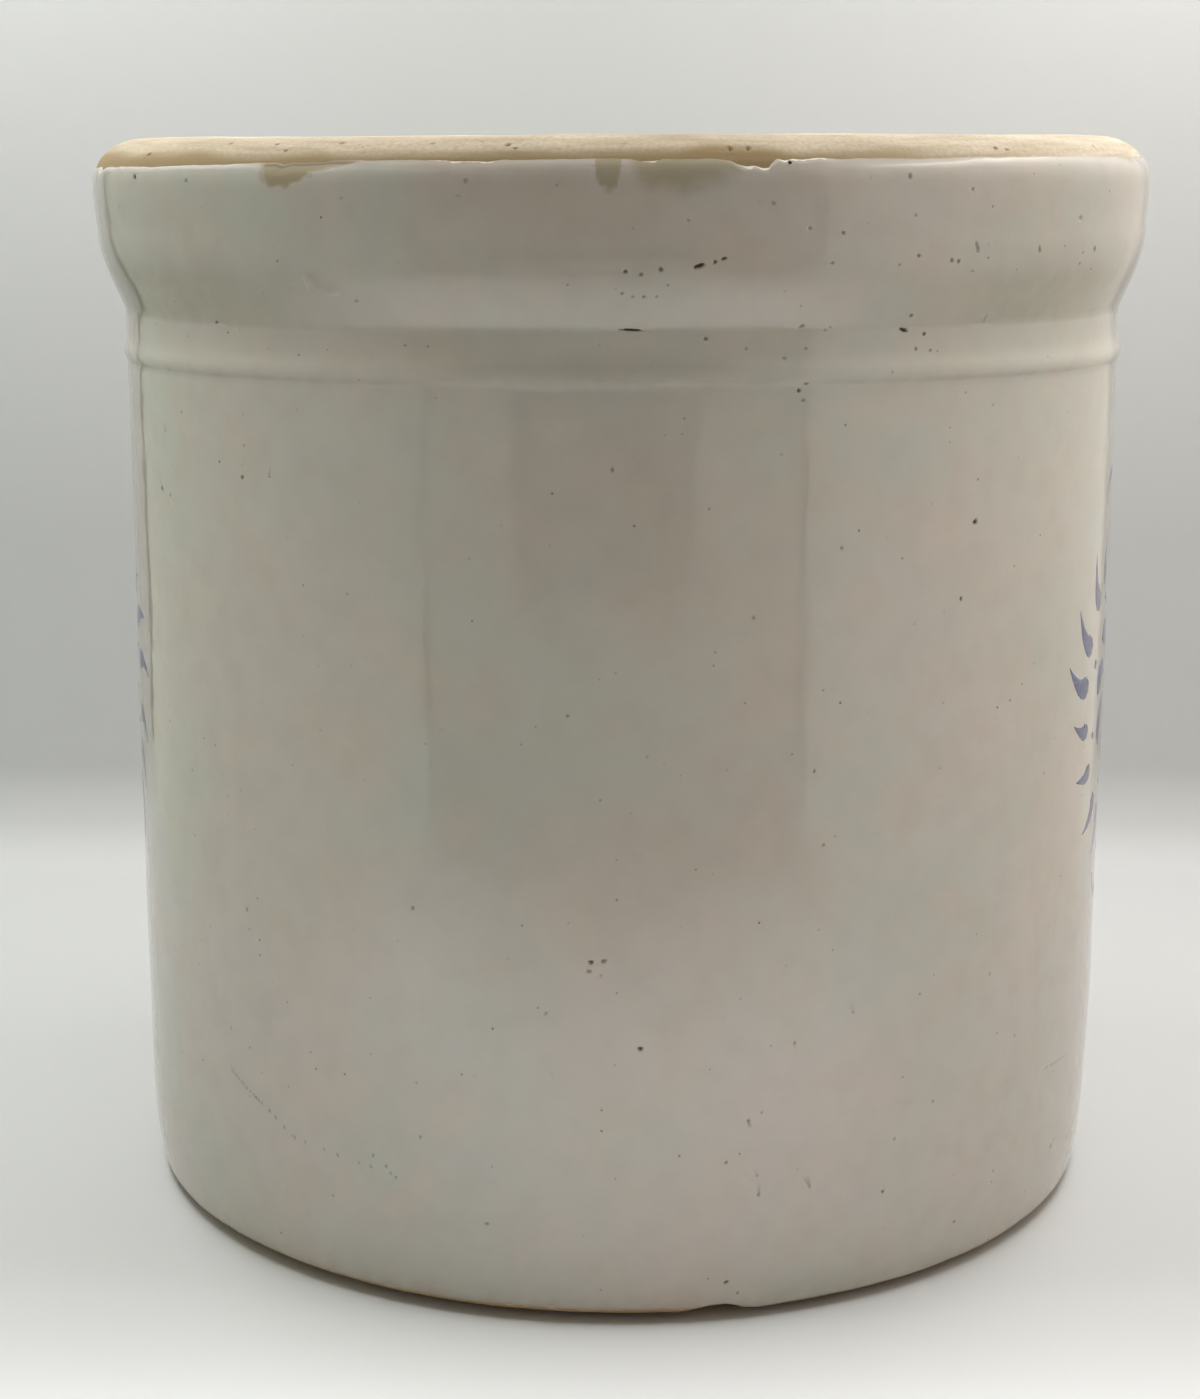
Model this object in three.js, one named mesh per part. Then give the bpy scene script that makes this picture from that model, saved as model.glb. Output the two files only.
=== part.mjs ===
// Straight-sided stoneware crock: one turned clay vessel with a rolled rim, a bead
// below it and a heel drawn in to the foot, glazed outside and inside.
// The rim's top and the foot are wiped bare. Millimetres, +Z up, origin under the
// centre of the foot.

import * as THREE from "three";

// Clay vessel
const HEIGHT = 245; // foot to rim top
const WALL_RADIUS = 114.7; // outside of the straight wall
const WALL_THICKNESS = 11;
const FLOOR_THICKNESS = 14; // standing surface to inside floor
const FLOOR_FILLET = 12; // inside corner between wall and floor

// Rolled rim, from its top down
const RIM_OVERHANG = 5.8; // rim face beyond the wall
const RIM_LAND = 2; // flat ring on top
const RIM_INNER_ROUND = 3.5; // edge towards the mouth
const RIM_SHOULDER = 9; // height of the rounded outer edge
const RIM_FACE = 11; // height of the rim's face
const RIM_TAPER = 0.4; // face drawn in at its foot
const UNDERCUT = 16.8; // height over which the rim runs back to the neck
const UNDERCUT_ROUND = 6; // bend from the face into the undercut
const UNDERCUT_FILLET = 4; // bend from the undercut into the neck

// Neck and bead, below the rim
const NECK_INSET = 0.1; // neck inside the wall's line
const NECK = 3; // height of the plain neck
const BEAD_PROUD = 0.7; // bead's crest beyond the wall
const BEAD_UPPER = 6; // neck down to the crest
const BEAD_LOWER = 2.2; // crest down to the wall

// Heel, foot and underside
const HEEL = 28; // height at which the wall starts to draw in
const HEEL_BEND = 8; // length over which the heel turns in hardest
const HEEL_INSET = 1.7; // foot inside the wall's line
const FOOT_ROUND = 2; // outer edge of the foot
const FOOT_RING = 18; // width of the standing surface
const RECESS = 1.5; // hollow under the floor
const RECESS_SLOPE = 3; // run of the step into the hollow

// Glaze
const GLAZE = 0.5; // thickness of the coat
const BOND = 0.05; // clearance between clay and coat
const RIM_BARE_OUTSIDE = 6; // wiped band below the rim top
const RIM_BARE_INSIDE = 7;
const FOOT_BARE = 3; // wiped band above the foot

// Fineness of the turned shapes
const FLATS = 60; // round the vessel
const STEPS = 4; // along each rounded edge
const SAME_HEIGHT = 1e-6;

const clay = new THREE.MeshStandardMaterial({ color: "#dcc7a0", roughness: 0.85 });
const paleGlaze = new THREE.MeshStandardMaterial({ color: "#bcb6a6", roughness: 0.15 });

const corner = (radius, height) => new THREE.Vector2(radius, height);

// A rounded edge of the outline, from one angle to another in quarter turns
function rounded(radius, height, wide, tall, fromQuarter, toQuarter) {
  const from = (fromQuarter * Math.PI) / 2;
  const to = (toQuarter * Math.PI) / 2;
  const falling = to < from;
  return new THREE.EllipseCurve(radius, height, wide, tall, from, to, falling).getPoints(STEPS);
}

// An S-bend that leaves one corner upright and reaches the next one upright
function bend(from, to, leave, arrive) {
  const above = corner(from.x, from.y + leave);
  const below = corner(to.x, to.y - arrive);
  return new THREE.CubicBezierCurve(from, above, below, to).getPoints(STEPS);
}

// Adds a corner where the outline crosses a height
function markedAt(outline, height) {
  const crosses = (end, i) => i > 0 && (outline[i - 1].y - height) * (end.y - height) < 0;
  const next = outline.findIndex(crosses);
  if (next < 0) return outline;
  const start = outline[next - 1];
  const share = (height - start.y) / (outline[next].y - start.y);
  const mark = start.clone().lerp(outline[next], share);
  return [...outline.slice(0, next), mark, ...outline.slice(next)];
}

function between(outline, low, high) {
  const within = (p) => p.y > low - SAME_HEIGHT && p.y < high + SAME_HEIGHT;
  return outline.filter(within);
}

// The unit normal of one side of the outline, pointing away from the clay
function sideNormal(start, end) {
  const along = end.clone().sub(start).normalize();
  return corner(along.y, -along.x);
}

// The outline moved off the clay by the thickness of a coat
function coated(outline, thickness) {
  const last = outline.length - 1;
  return outline.map((point, i) => {
    const first = Math.max(i - 1, 0);
    const second = Math.min(i, last - 1);
    const before = sideNormal(outline[first], outline[first + 1]);
    const after = sideNormal(outline[second], outline[second + 1]);
    const middle = before.clone().add(after).normalize();
    return point.clone().addScaledVector(middle, thickness / middle.dot(before));
  });
}

function turned(name, outline, material) {
  const geometry = new THREE.LatheGeometry(outline, FLATS);
  geometry.rotateX(Math.PI / 2);
  const mesh = new THREE.Mesh(geometry, material);
  mesh.name = name;
  return mesh;
}

// Outside of the clay, from the foot's outer edge up to the rim's land
function outsideOutline() {
  const footRadius = WALL_RADIUS - HEEL_INSET;
  const foot = rounded(footRadius - FOOT_ROUND, FOOT_ROUND, FOOT_ROUND, FOOT_ROUND, -1, 0);
  const heel = new THREE.QuadraticBezierCurve(
    corner(footRadius, FOOT_ROUND),
    corner(WALL_RADIUS, FOOT_ROUND + HEEL_BEND),
    corner(WALL_RADIUS, HEEL),
  ).getPoints(STEPS);

  const faceTop = HEIGHT - RIM_SHOULDER;
  const rimRadius = WALL_RADIUS + RIM_OVERHANG;
  const faceFoot = corner(rimRadius - RIM_TAPER, faceTop - RIM_FACE);
  const neckTop = corner(WALL_RADIUS - NECK_INSET, faceFoot.y - UNDERCUT);
  const neckFoot = corner(neckTop.x, neckTop.y - NECK);
  const crest = corner(WALL_RADIUS + BEAD_PROUD, neckFoot.y - BEAD_UPPER);
  const beadFoot = corner(WALL_RADIUS, crest.y - BEAD_LOWER);
  const lowerBead = bend(beadFoot, crest, BEAD_LOWER / 2, BEAD_LOWER / 2);
  const upperBead = bend(crest, neckFoot, BEAD_UPPER / 2, BEAD_UPPER / 2);
  const undercut = bend(neckTop, faceFoot, UNDERCUT_FILLET, UNDERCUT_ROUND);

  const rimThickness = WALL_THICKNESS + RIM_OVERHANG;
  const shoulderWidth = rimThickness - RIM_INNER_ROUND - RIM_LAND;
  const shoulder = rounded(rimRadius - shoulderWidth, faceTop, shoulderWidth, RIM_SHOULDER, 0, 1);

  const outline = [
    ...foot,
    ...heel.slice(1),
    ...lowerBead,
    ...upperBead.slice(1),
    ...undercut,
    ...shoulder,
  ];
  return markedAt(markedAt(outline, FOOT_BARE), HEIGHT - RIM_BARE_OUTSIDE);
}

// Inside of the clay, from the rim's land down to the middle of the floor
function insideOutline() {
  const mouth = WALL_RADIUS - WALL_THICKNESS;
  const edgeRadius = mouth + RIM_INNER_ROUND;
  const edgeHeight = HEIGHT - RIM_INNER_ROUND;
  const edge = rounded(edgeRadius, edgeHeight, RIM_INNER_ROUND, RIM_INNER_ROUND, 1, 2);
  const filletRadius = mouth - FLOOR_FILLET;
  const filletHeight = FLOOR_THICKNESS + FLOOR_FILLET;
  const fillet = rounded(filletRadius, filletHeight, FLOOR_FILLET, FLOOR_FILLET, 0, -1);
  const outline = [...edge, ...fillet, corner(0, FLOOR_THICKNESS)];
  return markedAt(outline, HEIGHT - RIM_BARE_INSIDE);
}

// Underside, from its middle out to the standing surface
function undersideOutline() {
  const footInner = WALL_RADIUS - HEEL_INSET - FOOT_ROUND - FOOT_RING;
  return [corner(0, RECESS), corner(footInner - RECESS_SLOPE, RECESS), corner(footInner, 0)];
}

const outside = outsideOutline();
const inside = insideOutline();

const vesselOutline = [...undersideOutline(), ...outside, ...inside];
const vessel = turned("stoneware_body", vesselOutline, clay);

const outerSkin = between(outside, FOOT_BARE, HEIGHT - RIM_BARE_OUTSIDE);
const outerFace = coated(outerSkin, BOND + GLAZE);
const outerBack = coated(outerSkin, BOND).toReversed();
const outerGlaze = turned("outer_glaze", [...outerFace, ...outerBack, outerFace[0]], paleGlaze);

const innerSkin = between(inside, FLOOR_THICKNESS, HEIGHT - RIM_BARE_INSIDE);
const innerFace = coated(innerSkin, BOND + GLAZE);
const innerBack = coated(innerSkin, BOND).toReversed();
const innerGlaze = turned("inner_glaze", [...innerBack, ...innerFace], paleGlaze);

const crock = new THREE.Group();
crock.name = "crock";
crock.add(vessel, outerGlaze, innerGlaze);

export default crock;
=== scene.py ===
import random

import bmesh
import bpy
import numpy as np
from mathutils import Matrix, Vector, noise


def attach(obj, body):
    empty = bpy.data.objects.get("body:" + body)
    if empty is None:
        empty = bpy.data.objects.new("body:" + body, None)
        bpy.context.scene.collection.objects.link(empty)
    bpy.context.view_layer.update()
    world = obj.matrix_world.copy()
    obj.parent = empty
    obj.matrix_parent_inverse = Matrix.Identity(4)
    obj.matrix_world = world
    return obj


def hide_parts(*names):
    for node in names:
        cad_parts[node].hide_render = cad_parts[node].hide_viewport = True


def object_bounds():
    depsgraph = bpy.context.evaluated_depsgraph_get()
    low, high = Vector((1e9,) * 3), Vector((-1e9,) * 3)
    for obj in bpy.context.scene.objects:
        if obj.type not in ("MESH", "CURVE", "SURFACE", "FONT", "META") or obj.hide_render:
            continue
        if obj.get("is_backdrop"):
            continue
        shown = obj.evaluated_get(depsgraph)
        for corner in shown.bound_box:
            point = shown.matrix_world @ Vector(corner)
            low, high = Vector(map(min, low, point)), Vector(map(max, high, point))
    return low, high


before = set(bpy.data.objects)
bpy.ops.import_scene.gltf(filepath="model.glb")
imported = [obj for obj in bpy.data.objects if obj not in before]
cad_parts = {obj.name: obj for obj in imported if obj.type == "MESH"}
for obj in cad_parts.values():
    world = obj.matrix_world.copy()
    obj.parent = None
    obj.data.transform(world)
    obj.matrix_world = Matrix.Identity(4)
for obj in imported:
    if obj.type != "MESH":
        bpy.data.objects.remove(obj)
cad_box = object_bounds()

# Clay vessel: buff stoneware turned in one piece, with a thick wall, a rolled rim, a bead below it
# and a heel drawn in to the foot. The rim's top, the foot and the underside were wiped bare before
# the one firing. Behind the glaze the clay is drawn thinner, clear of the pits in the coats.

HEIGHT = 245.0  # millimetres, like all sizes up to the camera
WALL_RADIUS = 114.7
MOUTH_RADIUS = 103.7
FLOOR_TOP = 14.0
FLOOR_FILLET = 12.0
RIM_RADIUS = 120.5
RIM_SHOULDER = 9.0
RIM_SHOULDER_WIDTH = 11.3
RIM_FACE_FOOT = 225.0
FACE_FOOT_RADIUS = 120.1
RIM_INNER_ROUND = 3.5
CREASE_PULL = 116.4, 212.4  # how the undercut leaves the crease above the neck
FACE_PULL_HEIGHT = 218.6  # and how it turns up into the rim's face
NECK_RADIUS = 114.6
NECK_TOP = 208.2
NECK_FOOT = 205.2
BEAD_RADIUS = 115.4
BEAD_CREST = 199.2
BEAD_FOOT = 197.0
HEEL_TOP = 28.0
HEEL_BEND = 10.0
FOOT_RADIUS = 113.0
FOOT_ROUND = 3.8
FOOT_ROUND_WIDTH = 13.0
FOOT_RING_INNER = 93.0
RECESS = 1.5
RECESS_RADIUS = 89.0
ROUND_POINTS = 25
CURVE_POINTS = 33
DISC = 3.0  # radius of the flat discs that close a turned shape at the axis
CLAY_COLUMNS = 480


def rounded(radius, height, wide, tall, start, end):
    """A rounded edge about a centre, between two angles in degrees"""
    turn = np.radians(np.linspace(start, end, ROUND_POINTS))
    return np.column_stack((radius + wide * np.cos(turn), height + tall * np.sin(turn)))


def curve(*corners):
    """A smooth curve that its corners pull on"""
    share = np.linspace(0, 1, CURVE_POINTS)[:, None]
    points = [np.array([corner], float).repeat(CURVE_POINTS, axis=0) for corner in corners]
    while len(points) > 1:
        points = [a + (b - a) * share for a, b in zip(points, points[1:])]
    return points[0]


def upright_bend(low, high, leave, arrive):
    """An S-bend that leaves one corner upright and reaches the next one upright"""
    return curve(low, (low[0], low[1] + leave), (high[0], high[1] - arrive), high)


def measured(*stretches):
    """An outline as (distance along it, radius, height)"""
    points = np.vstack([np.array(stretch, float).reshape(-1, 2) for stretch in stretches])
    steps = np.hypot(*np.diff(points, axis=0).T)
    points = points[np.concatenate(([True], steps > 1e-6))]
    steps = np.hypot(*np.diff(points, axis=0).T)
    return np.concatenate(([0], np.cumsum(steps))), points[:, 0], points[:, 1]


def on_outline(outline, along):
    """Radius and height at distances along an outline, and the way out from the clay there"""
    distance, radius, height = outline
    reach = 0.35
    ahead = np.minimum(along + reach, distance[-1])
    behind = np.maximum(along - reach, 0)
    run = np.interp(ahead, distance, radius) - np.interp(behind, distance, radius)
    rise = np.interp(ahead, distance, height) - np.interp(behind, distance, height)
    size = np.hypot(run, rise)
    here = np.interp(along, distance, radius), np.interp(along, distance, height)
    return *here, rise / size, -run / size


underside = [(0, RECESS), (RECESS_RADIUS, RECESS)]
step_up = curve((RECESS_RADIUS, RECESS), (91.5, RECESS), (90.5, 0), (FOOT_RING_INNER, 0))
foot_middle = FOOT_RADIUS - FOOT_ROUND_WIDTH
foot = rounded(foot_middle, FOOT_ROUND, FOOT_ROUND_WIDTH, FOOT_ROUND, -90, 0)
heel = curve((FOOT_RADIUS, FOOT_ROUND), (WALL_RADIUS, HEEL_BEND), (WALL_RADIUS, HEEL_TOP))
bead_low = upright_bend((WALL_RADIUS, BEAD_FOOT), (BEAD_RADIUS, BEAD_CREST), 0.5, 0.8)
bead_high = upright_bend((BEAD_RADIUS, BEAD_CREST), (NECK_RADIUS, NECK_FOOT), 1.2, 4.3)
face_foot = FACE_FOOT_RADIUS, RIM_FACE_FOOT
face_pull = FACE_FOOT_RADIUS, FACE_PULL_HEIGHT
undercut = curve((NECK_RADIUS, NECK_TOP), CREASE_PULL, face_pull, face_foot)
shoulder_foot = HEIGHT - RIM_SHOULDER
face = upright_bend(face_foot, (RIM_RADIUS, shoulder_foot), 4, 4)
shoulder_radius = RIM_RADIUS - RIM_SHOULDER_WIDTH
shoulder = rounded(shoulder_radius, shoulder_foot, RIM_SHOULDER_WIDTH, RIM_SHOULDER, 0, 90)
mouth_edge_radius = MOUTH_RADIUS + RIM_INNER_ROUND
mouth_edge_height = HEIGHT - RIM_INNER_ROUND
mouth_edge = rounded(mouth_edge_radius, mouth_edge_height, RIM_INNER_ROUND, RIM_INNER_ROUND, 90, 180)
fillet_radius = MOUTH_RADIUS - FLOOR_FILLET
fillet = rounded(fillet_radius, FLOOR_TOP + FLOOR_FILLET, FLOOR_FILLET, FLOOR_FILLET, 0, -90)

outside = np.vstack((foot, heel, bead_low, bead_high, undercut, face, shoulder))
inside = np.vstack((mouth_edge, fillet, [(0, FLOOR_TOP)]))
clay_outline = measured(underside, step_up, outside, inside)
clay_top = clay_outline[0][np.argmax(clay_outline[2])]


def ease(value):
    """0 below 0, 1 above 1 and a soft step between"""
    value = np.clip(value, 0, 1)
    return value * value * (3 - 2 * value)


def lumps(points, size, seed):
    """Soft unevenness between about -1 and 1, with lumps of a size in mm"""
    offset = Vector((seed * 7.31, seed * 3.17, seed * 5.53))
    return np.array([noise.noise(Vector(p) / size + offset) for p in points])


def cylinder(azimuth, radius, height):
    """Points in mm; azimuth 0 faces the camera and grows to its right, in degrees"""
    turn = np.radians(azimuth)
    return np.column_stack((radius * np.sin(turn), -radius * np.cos(turn), height + 0 * turn))


def fired(points):
    """The slight warp that the whole pot took: it is fuller on the right, and its bead is worn on the
    left and hangs a little at both sides"""
    azimuth = np.arctan2(points[:, 0], -points[:, 1])
    height = points[:, 2]
    up = height / HEIGHT
    side = np.sin(azimuth)
    right = 0.95 * ease((height - 12) / 40) - 0.25 * ease((height - 214) / 10)
    left = -0.4 * ease((height - 110) / 40) * ease((232 - height) / 10)
    swell = side ** 2 * np.where(side > 0, right, left)
    worn = (0.05 - 0.22 * np.cos(azimuth - 1.2)) * np.exp(-(((height - BEAD_CREST) / 3) ** 2))
    radius = np.hypot(points[:, 0], points[:, 1])
    oval = 1 + 0.0014 * np.cos(2 * azimuth + 0.7) * up + (swell - worn) / np.maximum(radius, 60)
    tilt = 0.0032 * points[:, 0] * up ** 2
    wander = 0.14 * np.sin(3 * azimuth + 1) + 0.09 * np.sin(7 * azimuth + 2)
    sag = 0.35 + 0.45 * side ** 2
    droop = 2.3 * side ** 2 * np.exp(-(((height - 200) / 10) ** 2))
    out = points * np.column_stack((oval, oval, np.ones_like(oval)))
    out[:, 2] += tilt + (wander - sag) * ease((up - 0.7) / 0.3) - droop
    return out


def rows_between(start, end, spacing):
    """Distances from start to end, as far apart as spacing says at each"""
    found = [start]
    while found[-1] < end:
        found.append(found[-1] + spacing(found[-1]))
    stretch = (end - start) / (found[-1] - start)
    return [start + (row - start) * stretch for row in found]


def named(mesh, label, values):
    """Keeps a value under a name for each point of a mesh"""
    layer = mesh.attributes.new(label, "FLOAT", "POINT")
    layer.data.foreach_set("value", values.astype(np.float32))


def turned(name, outline, rows, columns, ring):
    """Rings of points, a row each; rows are (distance along the outline, depth under it).
    A ring of rows closes on itself, and else a disc closes the first and the last row."""
    along = np.array([row[0] for row in rows])
    depth = np.array([row[1] for row in rows])
    radius, height, out, up = on_outline(outline, along)
    azimuth = np.arange(columns) * 360 / columns - 180
    spread = np.repeat(radius - out * depth, columns), np.repeat(height - up * depth, columns)
    points = cylinder(np.tile(azimuth, len(rows)), *spread)
    faces = []
    for row in range(len(rows) - (0 if ring else 1)):
        low = row * columns
        high = (row + 1) % len(rows) * columns
        for i in range(columns):
            j = (i + 1) % columns
            faces.append((low + i, low + j, high + j, high + i))
    if not ring:
        faces.append(tuple(range(columns))[::-1])
        faces.append(tuple(range((len(rows) - 1) * columns, len(rows) * columns)))
    mesh = bpy.data.meshes.new(name)
    mesh.from_pydata(points, [], faces)
    named(mesh, "along", np.repeat(along, columns))
    named(mesh, "depth", np.repeat(depth, columns))
    return mesh


def read(mesh, label):
    """One of a mesh's named values, at each of its points"""
    values = np.empty(len(mesh.vertices), np.float32)
    mesh.attributes[label].data.foreach_get("value", values)
    return values.astype(float)


def facing(points):
    """The azimuth of each point, in degrees"""
    return np.degrees(np.arctan2(points[:, 0], -points[:, 1]))


def azimuths(mesh):
    """The azimuth of each point of a mesh, in degrees"""
    places = np.empty(len(mesh.vertices) * 3, np.float32)
    mesh.vertices.foreach_get("co", places)
    return facing(places.reshape(-1, 3).astype(float))


def turn_between(azimuth, other):
    """Degrees from one azimuth to another, the short way"""
    return (azimuth - other + 180) % 360 - 180


def split_near(mesh, wanted):
    """Splits in four each face of a mesh that wanted(azimuth, along, depth) chooses"""
    shape = bmesh.new()
    shape.from_mesh(mesh)
    shape.faces.ensure_lookup_table()
    along = shape.verts.layers.float["along"]
    depth = shape.verts.layers.float["depth"]
    middles = np.array([face.calc_center_median() for face in shape.faces])
    azimuth = facing(middles)
    row = np.array([sum(v[along] for v in face.verts) / len(face.verts) for face in shape.faces])
    deep = np.array([max(v[depth] for v in face.verts) for face in shape.faces])
    chosen = np.flatnonzero(wanted(azimuth, row, deep))
    edges = {edge for i in chosen for edge in shape.faces[i].edges}
    bmesh.ops.subdivide_edges(shape, edges=list(edges), cuts=1, use_grid_fill=True)
    shape.to_mesh(mesh)
    shape.free()


def near_flaws(flaws, outline, margin):
    """Chooses faces within a margin in mm of any flaw"""
    def wanted(azimuth, along, depth):
        close = np.zeros(len(azimuth), bool)
        radius = np.interp(along, outline[0], outline[1])
        for middle, row, wide, tall, *_ in flaws:
            across = np.abs(turn_between(azimuth, middle)) * np.pi / 180 * radius
            reach = max(wide, tall) / 2 + margin
            close |= (across < reach) & (np.abs(along - row) < reach) & (depth < 0.2)
        return close
    return wanted


# Flaws darken with their depth: dirt lying in the hollow together with painted shade.
FULLY_DARK = 0.45  # flaws of this depth in mm are as dark as they get


def hollow(flaws, outline, azimuth, along, ragged):
    """How deep the flaws cut and how dark they are, at each point, with ragged outlines.
    A flaw is (azimuth, distance along, width, height, depth, turn); a negative depth stands up."""
    cut = np.zeros(len(azimuth))
    dark = np.zeros(len(azimuth))
    radius = np.interp(along, outline[0], outline[1])
    for middle, row, wide, tall, depth, turn in flaws:
        across = turn_between(azimuth, middle) * np.pi / 180 * radius
        rise = along - row
        cos, sin = np.cos(np.radians(turn)), np.sin(np.radians(turn))
        share = np.hypot((across * cos + rise * sin) / wide, (rise * cos - across * sin) / tall) * 2
        share = share * (1 + 0.35 * ragged)
        bowl = np.clip(1 - share ** 2, 0, 1)
        cut += depth * bowl ** 1.5
        if depth > 0:
            cut -= 0.12 * depth * np.exp(-(((share - 1.25) / 0.22) ** 2))
            dark = np.maximum(dark, ease(bowl * 1.5 - 0.15) * min(1, depth / FULLY_DARK))
    return cut, dark


def rows_at_heights(outline, flaws, low, high):
    """Flaws with their heights turned into distances along an outline, between two distances"""
    distance, _, height = outline
    part = (distance >= low) & (distance <= high)
    order = np.argsort(height[part])
    heights, places = height[part][order], distance[part][order]
    return [(flaw[0], np.interp(flaw[1], heights, places), *flaw[2:]) for flaw in flaws]


def placed(mesh, points):
    """Moves a mesh's points to places in mm and shades it smooth"""
    mesh.vertices.foreach_set("co", (points / 1000).astype(np.float32).ravel())
    mesh.shade_smooth()
    mesh.update()
    piece = bpy.data.objects.new(mesh.name, mesh)
    bpy.context.scene.collection.objects.link(piece)
    return piece


RIM_NICKS = [  # azimuth, height, width, tall, deep, turn
    (-56, 241.6, 1.7, 1.2, 0.5, 20),
    (-43, 243.9, 1.5, 1.0, 0.35, 25),
    (-36, 243.8, 1.3, 1.1, 0.4, -20),
    (-34, 242.6, 1.2, 0.8, 0.35, 0),
    (-28, 243.9, 1.6, 1.3, 0.3, 15),
    (-18, 243.6, 1.5, 1.0, 0.25, 0),
    (-10.4, 243.2, 1.1, 1.6, 0.4, -40),
    (-9.6, 242.5, 1.3, 0.8, 0.35, -20),
    (0.5, 243.2, 1.2, 0.7, 0.2, 0),
    (10.3, 242.3, 0.9, 2.0, 0.45, 5),
    (12.0, 242.3, 1.0, 1.9, 0.4, -15),
    (39.5, 242.4, 1.6, 1.1, 0.5, 10),
    (41.0, 242.1, 1.5, 0.9, 0.4, -15),
    (58, 242.8, 1.3, 1.1, 0.3, 0),
    (84, 243.4, 1.6, 1.0, 0.4, 20),
    (121, 242.2, 1.4, 1.2, 0.4, 0),
    (149, 243.8, 2.4, 1.4, 0.5, -20),
    (190, 242.4, 1.3, 1.0, 0.4, 10),
    (214, 243.5, 1.8, 1.1, 0.4, 30),
    (247, 242.0, 1.2, 1.3, 0.4, 0),
    (276, 243.6, 1.5, 1.0, 0.3, -10),
]
FOOT_CHIPS = [  # azimuth, height, width, tall, deep, turn
    (11.0, 2.0, 14, 12, 2.6, 0),
    (-44, 0.6, 5, 2.6, 0.7, 0),
    (-8, 0.2, 6, 1.6, 0.35, 0),
    (63, 0.3, 7, 2.2, 0.6, 0),
    (118, 0.4, 9, 2.8, 0.8, 0),
    (205, 0.3, 6, 2.4, 0.7, 0),
    (262, 0.5, 11, 3.0, 0.9, 0),
]
SUNK = 1.5  # how far the hidden clay stands back
GLAZE_FOOT_LINE = 2.7
GLAZE_RIM_LINE = 240.0
GLAZE_MOUTH_LINE = 238.0
HIDDEN_FROM = 9.0  # heights between which the glaze hides the clay, with a soft step at each
HIDDEN_TO = 230.0
HIDDEN_TO_INSIDE = 229.0
HIDDEN_STEP = 5.0


def clay_depth(along):
    """How far the clay stands back behind the glaze"""
    _, height, _, _ = on_outline(clay_outline, along)
    outer = ease((height - HIDDEN_FROM) / HIDDEN_STEP) * ease((HIDDEN_TO - height) / HIDDEN_STEP)
    inner = ease((HIDDEN_TO_INSIDE - height) / HIDDEN_STEP)
    return SUNK * np.where(along < clay_top, outer, inner)


def clay_spacing(along):
    """Rows are close where the clay is bare and round the floor's fillet"""
    radius = np.interp(along, clay_outline[0], clay_outline[1])
    height = np.interp(along, clay_outline[0], clay_outline[2])
    if along < clay_top and height < 8:
        return 4.0 if radius < 86 else 1.4 if radius < 103 else 0.5
    if along > clay_top and height < 32:
        return 2.0 if radius > 86 else 12.0
    return 0.75 if height > 229 else 4.0 if height > 220 or height < 12 else 22.0


clay_rows = [(row, 0) for row in rows_between(DISC, clay_outline[0][-1] - DISC, clay_spacing)]
clay_mesh = turned("clay_vessel", clay_outline, clay_rows, CLAY_COLUMNS, ring=False)
lowest = slice(60)  # the underside's and the foot's points of the outline
foot_start = np.interp(FOOT_RING_INNER, clay_outline[1][lowest], clay_outline[0][lowest])
nicks = rows_at_heights(clay_outline, RIM_NICKS, foot_start, clay_top)
chips = rows_at_heights(clay_outline, FOOT_CHIPS, foot_start, clay_top)
for margin in (1.6, 0.7):
    split_near(clay_mesh, near_flaws(nicks, clay_outline, margin))

azimuth = azimuths(clay_mesh)
along = read(clay_mesh, "along")
radius, height, out, up = on_outline(clay_outline, along)
surface = cylinder(azimuth, radius, height)
bare = 1 - clay_depth(along) / SUNK
ragged = lumps(surface, 0.7, 5)
cut, dirt_and_painted_shade = hollow(nicks, clay_outline, azimuth, along, ragged)
chipped, _ = hollow(chips, clay_outline, azimuth, along, lumps(surface, 3, 6))
turning = np.sin(along * 2 * np.pi / 2.3 + 1.5 * lumps(surface, 60, 1)) * 0.02
uneven = 0.09 * lumps(surface, 11, 2) + 0.05 * lumps(surface, 3.4, 3) + turning
lift = uneven * bare * (height > 0.05) - cut - clay_depth(along)
points = cylinder(azimuth, radius + out * lift, height + up * lift)
points[:, 2] += chipped * ease((6 - height) / 6) * (radius > 104)
points[:, 2] = np.maximum(points[:, 2], 0)
clay_vessel = placed(clay_mesh, fired(points))
# The nicks' dark is dirt in them together with painted shade, and deeper nicks are darker.
named(clay_mesh, "dirt_and_painted_shade", 0.7 * dirt_and_painted_shade)
named(clay_mesh, "toast", ease((7 - height) / 6) * (along < clay_top))
# The rim's clay darkens towards the glaze line. This is a tan stain together with painted shade where the
# rim turns down from the light, and it is stronger at the notch. The whole rim is painted darker as well,
# except on the right, the side that the light falls on most.
above_glaze = height - GLAZE_RIM_LINE + 1.2 * lumps(surface, 16, 4)
notch_stain_and_shade = 1.2 * ease(1.5 - np.abs(turn_between(azimuth, 11)) / 4)
stain_and_shade = ease((3.0 + notch_stain_and_shade - above_glaze) / 2.4) * (1 + 0.2 * notch_stain_and_shade)
painted_light_right = ease((azimuth - 12) / 45) * ease((150 - azimuth) / 40)
stain_and_shade = stain_and_shade * (0.72 - 0.7 * painted_light_right) + 0.25 * (1 - painted_light_right)
named(clay_mesh, "stain_and_painted_shade", stain_and_shade * (height > 200) * (along < clay_top))


def linear(code):
    """An sRGB hex colour as the linear one that sockets take"""
    parts = [int(code[i:i + 2], 16) / 255 for i in (1, 3, 5)]
    return [c / 12.92 if c <= 0.04045 else ((c + 0.055) / 1.055) ** 2.4 for c in parts] + [1]


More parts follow.
